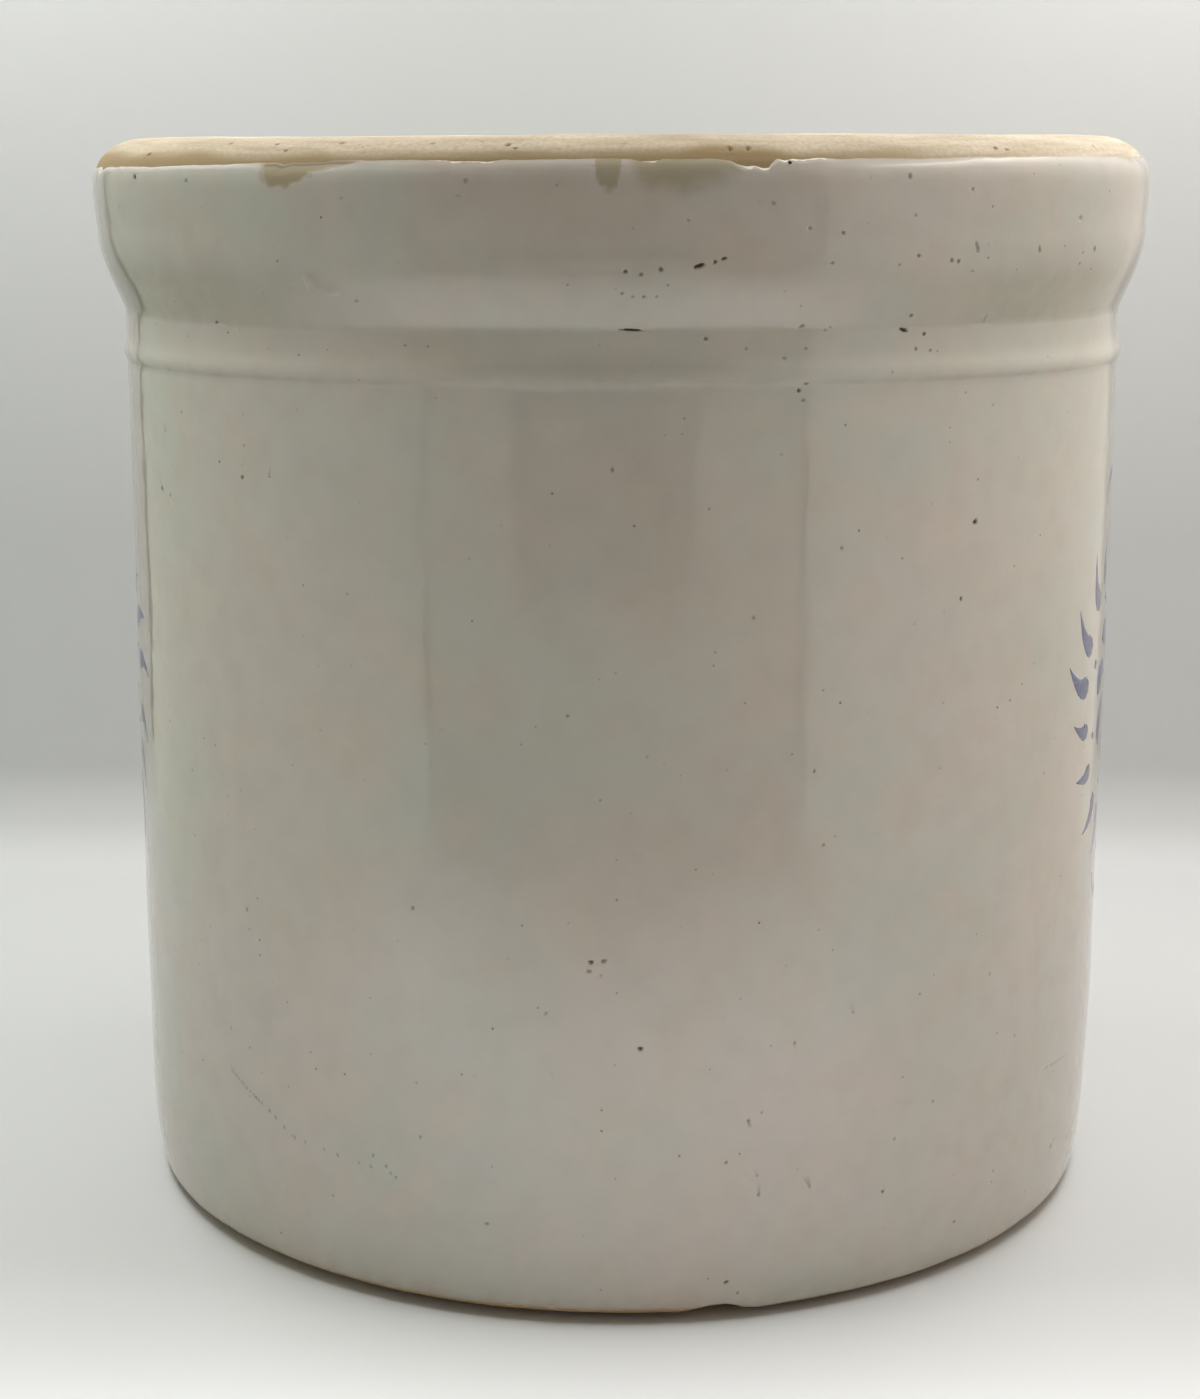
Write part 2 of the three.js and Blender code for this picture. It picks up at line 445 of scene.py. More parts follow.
def add_node(tree, kind, inputs, **settings):
    """Adds a node with its settings; each input takes a value or another node's output"""
    made = tree.nodes.new(kind)
    for name, value in settings.items():
        setattr(made, name, value)
    for socket, value in inputs.items():
        if isinstance(value, bpy.types.NodeSocket):
            tree.links.new(value, made.inputs[socket])
        else:
            made.inputs[socket].default_value = value
    return made


def per_mm(size):
    """A texture's scale for a pattern of a size in mm, on coordinates in metres"""
    return 1000 / size


def new_material(name):
    """An empty material, its tree and its coordinates in metres"""
    material = bpy.data.materials.new(name)
    material.use_nodes = True
    material.node_tree.nodes.clear()
    tree = material.node_tree
    place = add_node(tree, "ShaderNodeTexCoord", {}).outputs["Object"]
    return material, tree, place


def blotches(tree, place, size, detail):
    """Soft noise with blotches of a size in mm"""
    texture = {"Vector": place, "Scale": per_mm(size), "Detail": detail}
    return add_node(tree, "ShaderNodeTexNoise", texture).outputs["Fac"]


def ranged(tree, value, low, high, start=0.0, end=1.0):
    """How far a value has come from low to high, as a number from start to end"""
    limits = {0: value, 1: low, 2: high, 3: start, 4: end}
    return add_node(tree, "ShaderNodeMapRange", limits).outputs[0]


def specks(tree, place, spacing, core, edge):
    """Round specks, one in each cell of a spacing in mm, and a random number for each cell"""
    cells = add_node(tree, "ShaderNodeTexVoronoi", {"Vector": place, "Scale": per_mm(spacing)})
    chance = add_node(tree, "ShaderNodeSeparateColor", {0: cells.outputs["Color"]})
    return ranged(tree, cells.outputs["Distance"], core, edge, 1.0, 0.0), chance.outputs[0]


def combined(tree, operation, first, second):
    """Two values put together"""
    return add_node(tree, "ShaderNodeMath", {0: first, 1: second}, operation=operation).outputs[0]


def mesh_value(tree, label):
    """A value that the mesh keeps for each of its points"""
    return add_node(tree, "ShaderNodeAttribute", {}, attribute_name=label).outputs["Fac"]


def tinted(tree, tone, share, code):
    """A tone with a share of another colour in it"""
    mixed = {0: share, 6: tone, 7: linear(code)}
    return add_node(tree, "ShaderNodeMix", mixed, data_type="RGBA").outputs[2]


def surfaced(tree, body):
    """Ends a material in one surface"""
    shader = add_node(tree, "ShaderNodeBsdfPrincipled", body)
    add_node(tree, "ShaderNodeOutputMaterial", {"Surface": shader.outputs[0]})


# Fired buff stoneware, wiped with a wet sponge: matt, sandy to the eye, with fine sponge streaks
# round the pot, small iron specks, and a toasted orange tone near the foot.
clay, tree, place = new_material("fired_buff_stoneware")
sand = blotches(tree, place, 0.9, 3)
flat = add_node(tree, "ShaderNodeMapping", {"Vector": place, "Scale": (0.05, 0.05, 1)})
streaks = ranged(tree, blotches(tree, flat.outputs[0], 1.1, 3), 0.40, 0.70, 0.0, 0.5)
speck, chance = specks(tree, place, 2.6, 0.10, 0.17)
iron = combined(tree, "MULTIPLY", speck, combined(tree, "GREATER_THAN", chance, 0.93))

tone = tinted(tree, linear("#bbaf9c"), blotches(tree, place, 14, 2), "#cbbfac")
tone = tinted(tree, tone, streaks, "#92846e")
tone = tinted(tree, tone, ranged(tree, sand, 0.35, 0.75, 0.0, 0.44), "#8d7e68")
tone = tinted(tree, tone, mesh_value(tree, "toast"), "#a8824f")
tone = tinted(tree, tone, combined(tree, "MULTIPLY", iron, 0.55), "#5c4028")
# Tan stain by the glaze line, with painted shade on the rim's lower edge and away from its right side
tone = tinted(tree, tone, mesh_value(tree, "stain_and_painted_shade"), "#8d7a5c")
# Dirt and painted shade in the rim's nicks
tone = tinted(tree, tone, mesh_value(tree, "dirt_and_painted_shade"), "#71543d")
sand_bump = {"Height": sand, "Strength": 0.32, "Distance": 0.00025}
rough_skin = add_node(tree, "ShaderNodeBump", sand_bump)
body = {
    "Base Color": tone,
    "Roughness": 0.85,
    "IOR": 1.5,
    "Specular IOR Level": 0.3,
    "Normal": rough_skin.outputs[0],
}
surfaced(tree, body)
clay_mesh.materials.append(clay)
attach(clay_vessel, "root")
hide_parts("stoneware_body")

# Inside glaze: a pale gloss coat poured in, swilled round and tipped out, so it runs from the floor
# up to a wavy line below the bare rim. It is fused to the clay.

COAT = 0.55
COAT_BACK = 1.0  # the hidden back of a coat lies this far inside the clay's line
BACK_SPACING = 18.0
INSIDE_COLUMNS = 360
inside_outline = measured(inside)
inside_end = inside_outline[0][-1]
mouth_line = np.interp(-GLAZE_MOUTH_LINE, -inside_outline[2], inside_outline[0])


def inside_spacing(along):
    """Rows are close at the upper line and round the floor's fillet"""
    if along < mouth_line + 3:
        return 0.5
    radius = np.interp(along, inside_outline[0], inside_outline[1])
    height = np.interp(along, inside_outline[0], inside_outline[2])
    return 1.8 if height < 28 and radius > 88 else 4.0


inside_front = rows_between(mouth_line, inside_end - DISC, inside_spacing)
inside_back = rows_between(mouth_line, inside_end - DISC, lambda along: BACK_SPACING)
inside_rows = [(row, COAT_BACK) for row in inside_back[::-1]] + [(row, 0) for row in inside_front]
inside_mesh = turned("inside_glaze_coat", inside_outline, inside_rows, INSIDE_COLUMNS, ring=False)
azimuth = azimuths(inside_mesh)
along = read(inside_mesh, "along")
depth = read(inside_mesh, "depth")
turn = np.radians(azimuth)
line = 0.9 * np.sin(turn * 2 + 1) + 0.5 * np.sin(turn * 5 + 2) + 0.3 * np.sin(turn * 11)
along = along + line * ease((mouth_line + 15 - along) / 15)
radius, height, out, up = on_outline(inside_outline, along)
surface = cylinder(azimuth, radius, height)
lip = np.sqrt(1 - (1 - np.clip((along - mouth_line - line) / 1.0, 0, 1)) ** 2)
pool = 0.25 * ease((30 - height) / 16) * ease((radius - 70) / 30)
throwing = 0.06 * np.sin(along * 2 * np.pi / 17 + turn) * ease((height - 20) / 20)
wave = 0.14 * lumps(surface, 34, 11) + 0.04 * lumps(surface, 12, 12) + throwing
lift = np.where(depth > 0.01, -depth, (COAT + wave + pool) * lip - 0.3 * (1 - lip))
points = cylinder(azimuth, radius + out * lift, height + up * lift)
inside_glaze_coat = placed(inside_mesh, fired(points))
named(inside_mesh, "thin", 0.8 * np.exp(-(along - mouth_line - line) / 1.2))
for label in ("pits_and_painted_shade", "white_lips_and_painted_highlights", "olive_and_painted_shade"):
    named(inside_mesh, label, np.zeros(len(along)))

# Pale stoneware glaze, fired to a gloss: a warm grey that leans to green where it lies thick and
# to pink where it is thinner, tan where it hardly covers the clay, with dark pinholes and specks.
glaze, tree, place = new_material("pale_gloss_stoneware_glaze")
dot, chance = specks(tree, place, 3.2, 0.05, 0.11)
pinhole = combined(tree, "MULTIPLY", dot, ranged(tree, chance, 0.72, 1.0, 0.0, 0.8))
drift = ranged(tree, blotches(tree, place, 55, 2), 0.38, 0.62)
blush = ranged(tree, blotches(tree, place, 15, 2), 0.45, 0.65, 0.0, 0.55)
mottle = ranged(tree, blotches(tree, place, 7, 3), 0.4, 0.7, 0.0, 0.3)
thin = mesh_value(tree, "thin")
white_lips_and_highlights = mesh_value(tree, "white_lips_and_painted_highlights")
pits_and_painted_shade = mesh_value(tree, "pits_and_painted_shade")

tone = tinted(tree, linear("#b0aea5"), drift, "#b7aea6")
tone = tinted(tree, tone, blush, "#b8aba0")
tone = tinted(tree, tone, mottle, "#a8a197")
# Olive runs of the glaze, and painted shade in the undercut at the sides
tone = tinted(tree, tone, mesh_value(tree, "olive_and_painted_shade"), "#8a8263")
tone = tinted(tree, tone, thin, "#958468")
# White broken lips of the coat, and painted highlights on a drip, a blister and the bead's upper slope
tone = tinted(tree, tone, white_lips_and_highlights, "#d3cec1")
tone = tinted(tree, tone, pinhole, "#5a4d3c")
# The pits' dirt, and painted shade under the rim, under the bead and under the clay's ledge
tone = tinted(tree, tone, pits_and_painted_shade, "#30160f")
duller = combined(tree, "MAXIMUM", combined(tree, "MAXIMUM", thin, pits_and_painted_shade), white_lips_and_highlights)
peel_bump = {"Height": blotches(tree, place, 3.5, 1), "Strength": 0.25, "Distance": 0.0002}
skin = add_node(tree, "ShaderNodeBump", peel_bump).outputs[0]
hole_bump = {"Height": pinhole, "Strength": 0.5, "Distance": 0.0002, "Normal": skin}
skin = add_node(tree, "ShaderNodeBump", hole_bump, invert=True).outputs[0]
body = {
    "Base Color": tone,
    "Roughness": ranged(tree, duller, 0.0, 1.0, 0.06, 0.5),
    "IOR": 1.58,
    "Normal": skin,
}
surfaced(tree, body)
inside_mesh.materials.append(glaze)
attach(inside_glaze_coat, "root")
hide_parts("inner_glaze")

# Outside glaze: the same pale coat, dipped and wiped, from just above the foot to a ragged line on
# the rim's shoulder. It crawled, bubbled and chipped there, so its edge has white broken lips, thin
# tan places and drips, and its skin has burst bubbles that dirt has filled, painted darker the deeper
# they are, as shade.

BURST_BUBBLES = [  # azimuth, height, width, tall, deep, turn
    (-56.5, 237.0, 1.5, 1.5, 0.6, 0),
    (-46.0, 208.3, 1.5, 0.8, 0.36, 20),
    (-14.3, 234.0, 2.0, 0.8, 0.20, 0),
    (15.6, 239.6, 1.1, 0.9, 0.45, 0),
    (7.3, 220.7, 2.6, 1.1, 0.60, 14),
    (9.5, 222.0, 1.6, 0.7, 0.42, 20),
    (1.2, 208.4, 4.8, 0.75, 0.60, -4),
    (17.9, 208.9, 1.4, 0.9, 0.28, 25),
    (16.2, 202.6, 1.3, 0.9, 0.18, -20),
    (18.4, 197.8, 1.3, 0.7, 0.24, 0),
    (29.2, 207.5, 2.5, 0.9, 0.55, -20),
    (27.5, 237.0, 1.1, 1.5, 0.24, -10),
    (35.8, 223.3, 1.1, 3.2, 0.26, 26),
    (44.7, 222.3, 0.9, 2.0, 0.28, 16),
    (55.2, 221.8, 1.1, 1.7, 0.28, 26),
    (51.6, 228.3, 1.9, 1.4, 0.20, 0),
    (39.6, 209.3, 0.9, 2.8, 0.13, -10),
    (39.3, 167.1, 1.6, 1.4, 0.50, 20),
    (-0.6, 181.2, 0.8, 1.4, 0.22, 0),
    (2.3, 62.4, 1.5, 1.0, 0.55, 0),
    (-2.7, 80.9, 1.5, 1.0, 0.50, -20),
    (-1.4, 81.2, 1.6, 1.0, 0.30, 10),
    (-2.9, 78.9, 1.5, 0.9, 0.25, 0),
    (-7.3, 69.6, 1.2, 0.9, 0.17, 0),
    (-43.8, 81.9, 0.8, 1.3, 0.20, 0),
    (40.0, 12.4, 1.2, 0.8, 0.26, 0),
    (60.0, 17.4, 1.2, 1.4, 0.26, -30),
    (66.5, 14.7, 1.5, 1.4, 0.15, -20),
    (69.3, 15.2, 1.3, 1.6, 0.15, 0),
    (-13.7, 22.3, 1.2, 0.8, 0.20, 0),
    (11.5, 9.5, 1.2, 0.9, 0.40, 28),
]
PINHOLES = [  # azimuth, height, size, deep
    (8.7, 221.4, 0.9, 0.40), (3.8, 220.1, 1.1, 0.36), (0.6, 219.8, 1.0, 0.36), (2.0, 219.2, 1.0, 0.33),
    (0.3, 215.6, 0.8, 0.22), (1.3, 215.0, 0.7, 0.17), (2.3, 215.0, 0.7, 0.22), (3.5, 215.0, 0.7, 0.17),
    (8.4, 206.5, 0.9, 0.30), (18.4, 204.4, 0.8, 0.22), (12.4, 204.5, 0.8, 0.18), (17.7, 196.3, 1.0, 0.40),
    (18.2, 194.3, 0.9, 0.20), (20.4, 207.9, 0.9, 0.17), (29.7, 210.5, 0.9, 0.32),
    (31.7, 206.6, 0.9, 0.38), (30.7, 203.8, 0.9, 0.24), (32.5, 203.4, 0.9, 0.22),
    (-25.8, 213.8, 0.7, 0.19), (-21.2, 205.1, 0.7, 0.17), (-18.8, 205.0, 0.7, 0.17),
    (34.8, 234.6, 0.9, 0.22), (28.3, 229.8, 0.9, 0.18), (20.8, 226.6, 1.0, 0.25),
    (17.5, 227.5, 0.9, 0.18), (12.8, 232.5, 0.8, 0.20), (14.0, 232.3, 0.9, 0.19), (6.2, 229.1, 0.7, 0.18),
    (19.9, 221.0, 0.9, 0.20), (26.9, 220.4, 0.8, 0.17), (28.9, 222.1, 0.9, 0.30),
    (32.8, 221.0, 1.0, 0.30), (33.7, 220.8, 1.0, 0.30), (35.7, 218.7, 0.8, 0.20),
    (37.4, 221.1, 0.8, 0.20), (48.9, 222.7, 0.8, 0.16), (52.6, 219.0, 0.9, 0.20),
    (55.6, 217.7, 0.9, 0.16), (-13.8, 236.5, 1.1, 0.15), (-5.5, 235.6, 0.8, 0.15),
    (-26.2, 233.5, 0.7, 0.16), (-46.2, 236.5, 1.0, 0.20), (-59.7, 169.8, 1.1, 0.50),
    (-57.4, 168.8, 0.9, 0.20), (-42.5, 175.8, 1.0, 0.42), (-38.3, 176.7, 0.8, 0.24),
    (-58.2, 182.5, 0.8, 0.22), (37.6, 151.5, 0.9, 0.42), (8.8, 173.3, 0.7, 0.22),
    (22.6, 164.4, 0.8, 0.23), (13.4, 151.4, 0.8, 0.25), (-5.0, 132.0, 0.8, 0.28), (2.9, 123.8, 0.7, 0.17),
    (20.1, 119.1, 0.8, 0.27), (21.3, 103.4, 0.9, 0.28), (-21.4, 89.8, 0.9, 0.27),
    (-43.5, 77.6, 0.7, 0.18), (-1.7, 78.1, 0.7, 0.20), (25.1, 66.5, 0.7, 0.24), (18.5, 61.5, 0.8, 0.24),
    (44.0, 67.7, 0.7, 0.22), (49.1, 50.9, 0.8, 0.22), (-47.5, 53.1, 0.7, 0.22), (-34.6, 53.7, 0.7, 0.20),
    (13.6, 45.4, 0.9, 0.30), (15.0, 47.0, 0.7, 0.19), (35.8, 42.6, 0.8, 0.27), (11.3, 36.6, 0.8, 0.28),
    (30.7, 36.3, 0.8, 0.19), (-21.0, 39.8, 0.8, 0.20), (-26.7, 33.7, 0.8, 0.26), (-25.1, 31.9, 0.8, 0.24),
    (-24.0, 29.8, 0.8, 0.21), (14.8, 28.8, 0.9, 0.32), (29.4, 24.8, 1.0, 0.33), (14.6, 33.1, 0.8, 0.19),
    (20.5, 29.0, 0.7, 0.19), (46.3, 20.7, 0.7, 0.28), (60.9, 18.4, 0.8, 0.20), (12.8, 6.7, 0.8, 0.23),
]
SCRATCHES = [  # lines of dark dots: from and to, as azimuth and height; number and turn of the dots
    ((-47.6, 43.2), (-45.0, 40.6), 7, -42),
    ((-44.3, 40.0), (-42.4, 38.4), 6, -42),
    ((-41.2, 37.4), (-38.6, 34.4), 3, -42),
    ((-37.5, 33.2), (-24.5, 30.5), 7, -42),
    ((56.8, 38.6), (63.0, 37.6), 9, 8),
]
RAISED = [  # azimuth, height, width, tall, deep, turn: a drip with a tail, a blister with a dip, bumps
    (-30.6, 217.4, 2.0, 4.6, -1.5, 16),
    (-28.6, 215.6, 5.0, 1.7, -0.55, -12),
    (-4.7, 187.9, 10.0, 8.5, -0.8, 0),
    (-4.4, 188.3, 6.0, 5.0, 0.75, 0),
    (29.9, 172.1, 5.0, 4.0, -0.3, 0),
    (150, 96.0, 8.0, 7.0, -0.25, 0),
    (215, 160.0, 6.0, 5.0, -0.25, 0),
]
PAINTED_HIGHLIGHTS = [  # azimuth, height, width, tall, white out of FULLY_DARK, turn: painted highlights on a drip and a blister
    (-30.8, 217.8, 1.3, 3.4, 0.32, 16),
    (-28.0, 215.0, 3.0, 0.8, 0.16, -12),
    (-4.7, 188.4, 8.5, 7.2, 0.06, 0),
]
EDGE_LINE = [  # azimuth and mm up: how the coat's upper edge wanders round the pot
    (-180, 0.6), (-110, -1.3), (-79, -1.4), (-50, -0.6), (-25, 0.9), (0, 0.6), (60, 1.0), (180, 0.6),
]
EDGE_DIPS = [  # stretches as (azimuth, mm down): where the coat's upper edge broke away
    [(-34.2, 0), (-33.2, 0.5), (-32.0, 0)],
    [(-17.2, 0), (-15.6, 0.4), (-12, 0.6), (-10.4, 0)],
    [(1.2, 0), (1.9, 0.5), (3.2, 0.4), (4.0, 0)],
    [(8.2, 0), (10.2, 0.5), (10.7, 1.2), (11.5, 1.7), (12.3, 1.6), (13.0, 2.2), (13.6, 2.1), (14.0, 1.0),
     (14.5, 0.1), (15.2, 0.5), (16.0, 0.1), (17.0, 0.4), (18.4, 0)],
    [(63.6, 0), (65, 0.6), (67.4, 0.8), (68.6, 0)],
    [(102.5, 0), (103.4, 1.2), (104.6, 1.6), (105.6, 0)],
    [(160, 0), (161.5, 1.6), (164, 1.2), (165, 1.9), (166.2, 0.2), (171, 0.8), (172, 0)],
    [(226, 0), (227.4, 1.2), (229, 0.8), (230.2, 0)],
    [(289.5, 0), (291, 0.9), (292.6, 0)],
]
WHITE_LIPS = [  # azimuth from and to, mm wide: the pale broken edge of the coat
    (-17.5, -10.9, 0.35),
    (2.0, 4.2, 0.3),
    (11.2, 13.9, 0.55),
    (14.7, 19.4, 0.4),
    (103, 105.4, 0.5),
    (161, 166, 0.5),
    (227, 229.5, 0.45),
]
THIN_PLACES = [  # stretches as (azimuth, mm down from the edge): the coat hardly covers the clay
    [(-35.7, 0), (-35.5, 3.2), (-34.6, 4.4), (-33.5, 5.0), (-32.2, 5.0), (-31.2, 4.0), (-30, 3.0),
     (-29, 2.3), (-27, 1.7), (-25.5, 1.1), (-24, 0)],
    [(134, 0), (135, 1.4), (138, 3.6), (140, 4.8), (141.5, 2.0), (144, 0)],
    [(240, 0), (243, 1.6), (247, 2.2), (249, 4.2), (250.5, 1.5), (253, 0)],
]
OLIVE_RUNS = [  # strength, softness in mm, then a stretch as before: wood-ash tinted runs
    (0.65, 1.6, [(-2.2, 0), (-2.0, 3.6), (-1.6, 5.4), (-0.9, 6.1), (-0.3, 5.4), (0.1, 3.6), (0.3, 0)]),
    (0.6, 5.0, [(0.6, 0), (2.4, 5), (6, 6.4), (9, 4.4), (11.5, 0)]),
    (0.4, 4.0, [(175, 0), (177, 5), (180, 7), (183, 4), (185, 0)]),
    (0.5, 1.8, [(204.6, 0), (205.4, 5), (206.2, 7), (207, 4), (207.6, 0)]),
]
FINE_PLACES = [  # azimuth, height, width, tall: where the edge needs a finer mesh
    (-32.6, 237.4, 9, 6),
    (-14.0, 240.0, 8, 2),
    (-0.9, 237.2, 5, 6),
    (3.0, 240.0, 4, 2),
    (12.4, 238.8, 9, 4),
    (17.2, 240.0, 6, 2),
]
UNSEEN_SIDE = 80, 290  # azimuths that the photograph doesn't show
UNSEEN_BUBBLES = 46
OUTSIDE_COLUMNS = 370
outside_outline = measured(outside)
rim_line = np.interp(GLAZE_RIM_LINE, outside_outline[2], outside_outline[0])
foot_line = np.interp(GLAZE_FOOT_LINE, outside_outline[2], outside_outline[0])
EDGE_REACH = 14.0  # how far along the coat the wandering of its edges is felt
EDGE_RING = 60.0  # radius at which that wandering is laid out


def on_outside(flaws):
    """Flaws with their heights turned into distances along the outside"""
    return rows_at_heights(outside_outline, flaws, 0, outside_outline[0][-1])


def drawn(azimuth, stretch):
    """The depth in mm at each azimuth of a stretch of (azimuth, depth) corners, and 0 outside it"""
    first = stretch[0][0]
    middle = (first + stretch[-1][0]) / 2
    turn = turn_between(azimuth, middle) + middle
    return np.interp(turn, [corner[0] for corner in stretch], [corner[1] for corner in stretch])


def stretch_of(azimuth, start, end, soft):
    """1 between two azimuths and 0 outside them, with soft ends in degrees"""
    half = (end - start) / 2
    return ease((half - np.abs(turn_between(azimuth, start + half))) / soft + 0.5)


def rim_edge(azimuth):
    """How far the coat's upper edge strays up from its line, in mm"""
    ring = cylinder(azimuth, EDGE_RING, 0)
    stray = drawn(azimuth, EDGE_LINE) + 0.24 * lumps(ring, 5, 21) + 0.16 * lumps(ring, 1.4, 22)
    for dip in EDGE_DIPS:
        stray = stray - drawn(azimuth, dip)
    return stray


def foot_edge(azimuth):
    """How far the coat's lower edge strays up from its line, in mm"""
    ring = cylinder(azimuth, EDGE_RING, 0)
    bare_stretch = 1.1 * stretch_of(azimuth, -54, 9, 12)
    return bare_stretch + 0.45 * lumps(ring, 9, 23) + 0.2 * lumps(ring, 2.5, 24) - 0.6


def strayed(azimuth, along):
    """Distances along the coat, moved so that its ends follow the two ragged edges"""
    top, bottom = rim_edge(azimuth), foot_edge(azimuth)
    near_top = ease((along - rim_line + EDGE_REACH) / EDGE_REACH)
    near_foot = ease((foot_line + EDGE_REACH - along) / EDGE_REACH)
    from_rim = rim_line + top - along - top * near_top
    from_foot = along + bottom * near_foot - foot_line - bottom
    return along + top * near_top + bottom * near_foot, from_rim, from_foot


def coat_waves(azimuth, radius, height):
    """The unevenness of the coat's skin, in mm"""
    skin = cylinder(azimuth, radius, height)
    return 0.13 * lumps(skin, 38, 31) + 0.045 * lumps(skin, 13, 32)


def outside_spacing(along):
    """Rows are close at both edges, on the rim and on the bead"""
    if along < foot_line + 3 or along > rim_line - 3:
        return 0.5
    height = np.interp(along, outside_outline[0], outside_outline[2])
    return 1.6 if height < 26 else 2.9 if height < 188 else 1.05


outside_front = rows_between(foot_line, rim_line, outside_spacing)
outside_back = rows_between(foot_line, rim_line, lambda along: BACK_SPACING)
outside_rows = [(row, 0) for row in outside_front] + [(row, COAT_BACK) for row in outside_back[::-1]]
outside_mesh = turned("outside_glaze_coat", outside_outline, outside_rows, OUTSIDE_COLUMNS, ring=True)

dice = random.Random(41)
pits = BURST_BUBBLES + [(turn, height, size, size, deep, 0) for turn, height, size, deep in PINHOLES]
for start, end, count, turn in SCRATCHES:
    for i in range(count):
        share = (i + dice.uniform(-0.2, 0.2)) / (count - 1)
        spot = [a + (b - a) * share for a, b in zip(start, end)]
        pits.append((*spot, dice.uniform(0.6, 1.3), 0.6, 0.2, turn))
for i in range(UNSEEN_BUBBLES):
    low, high = (204, 238) if i % 3 else (20, 190)
    spot = dice.uniform(*UNSEEN_SIDE), dice.uniform(low, high)
    size = dice.uniform(0.7, 1.2)
    wide = size * dice.uniform(0.9, 1.6)
    pits.append((*spot, wide, size, dice.uniform(0.16, 0.45), dice.uniform(-40, 40)))
pits = on_outside(pits)
raised = on_outside(RAISED)
painted_highlight_spots = on_outside(PAINTED_HIGHLIGHTS)
split_near(outside_mesh, lambda azimuth, along, depth: (along > rim_line - 1.6) & (depth < 0.2))
fine_places = on_outside(FINE_PLACES)
for margin in (1.2, 0.6):
    split_near(outside_mesh, near_flaws(fine_places, outside_outline, margin))
split_near(outside_mesh, near_flaws(raised[:2], outside_outline, 1.0))
for margin in (1.2, 0.6, 0.3):
    split_near(outside_mesh, near_flaws(pits, outside_outline, margin))

azimuth = azimuths(outside_mesh)
depth = read(outside_mesh, "depth")
along, from_rim, from_foot = strayed(azimuth, read(outside_mesh, "along"))
radius, height, out, up = on_outline(outside_outline, along)
thick_edge = np.maximum(stretch_of(azimuth, -76, -36, 3), stretch_of(azimuth, 9.5, 20, 2))
lip_width = 3.2 - 1.8 * thick_edge
rim_lip = 1 - (1 - np.clip(from_rim / lip_width, 0, 1)) ** 2
foot_lip = np.sqrt(1 - (1 - np.clip(from_foot / 1.6, 0, 1)) ** 2)
lip = np.minimum(rim_lip, foot_lip)

white_lips_and_highlights = np.zeros(len(azimuth))
thin = np.zeros(len(azimuth))
olive_and_painted_shade = np.zeros(len(azimuth))
surface = cylinder(azimuth, radius, height)
ragged = lumps(surface, 2.2, 33)
broken = lumps(surface, 1.1, 37)
for start, end, wide in WHITE_LIPS:
    edge = ease((wide * (1 + 1.6 * broken) - from_rim) / 0.3 + 0.5)
    white_lips_and_highlights = np.maximum(white_lips_and_highlights, stretch_of(azimuth, start, end, 0.6) * edge)
for stretch in THIN_PLACES:
    drop = drawn(azimuth, stretch)
    edge = ease((drop * (1 + 0.2 * ragged) - from_rim) / 0.5 + 0.5)
    thin = np.maximum(thin, 0.9 * edge * ease(drop / 0.4))
for strength, soft, stretch in OLIVE_RUNS:
    drop = drawn(azimuth, stretch)
    edge = ease((drop * (1 + 0.3 * ragged) - from_rim) / soft + 0.5)
    olive_and_painted_shade = np.maximum(olive_and_painted_shade, strength * edge * ease(drop / 2))
at_sides = ease((np.abs(azimuth) - 22) / 30)
above_crease = ease((height - NECK_TOP + 0.4) / 0.8)
# Painted shade in the undercut at the sides, tinted olive like the runs
painted_undercut_shade = above_crease * ease((RIM_FACE_FOOT - 4 - height) / 5) * at_sides
olive_and_painted_shade = np.maximum(olive_and_painted_shade, 0.3 * painted_undercut_shade * (1 + 0.4 * ragged))
above_foot = np.clip(from_foot, 0, None)
at_foot = 0.62 * np.exp(-above_foot / 2.6) + 0.07 * np.exp(-above_foot / 12)
thin = np.maximum(thin, at_foot * (0.75 + 0.5 * ragged))
feathered = (0.5 - 0.4 * thick_edge) * np.exp(-np.clip(from_rim, 0, None) / 0.7)
thin = np.maximum(thin, feathered)
cut, pits_and_painted_shade = hollow(pits, outside_outline, azimuth, along, lumps(surface, 0.6, 34))
bumps, _ = hollow(raised, outside_outline, azimuth, along, lumps(surface, 2, 35))
# Painted shade in three places: a dark line under the clay's ledge above the tan patch, a line under the
# bead's crest, and a darker undercut and rim face, more at the sides.
painted_ledge_shadow = stretch_of(azimuth, -35.8, -25, 1.5) * np.exp(-(((from_rim - 0.7) / 0.4) ** 2))
painted_bead_shade = 0.13 * (1 + 0.6 * ragged) * np.exp(-(((height - BEAD_CREST + 1.1) / 0.7) ** 2))
painted_rim_shade = (0.07 + 0.04 * at_sides) * above_crease
for painted_shade in (0.55 * painted_ledge_shadow, painted_bead_shade, painted_rim_shade):
    pits_and_painted_shade = np.maximum(pits_and_painted_shade, painted_shade)
# Painted highlights on the drip and on the blister's ring
_, painted_highlight = hollow(painted_highlight_spots, outside_outline, azimuth, along, lumps(surface, 2, 36))
white_lips_and_highlights = np.maximum(white_lips_and_highlights, painted_highlight)
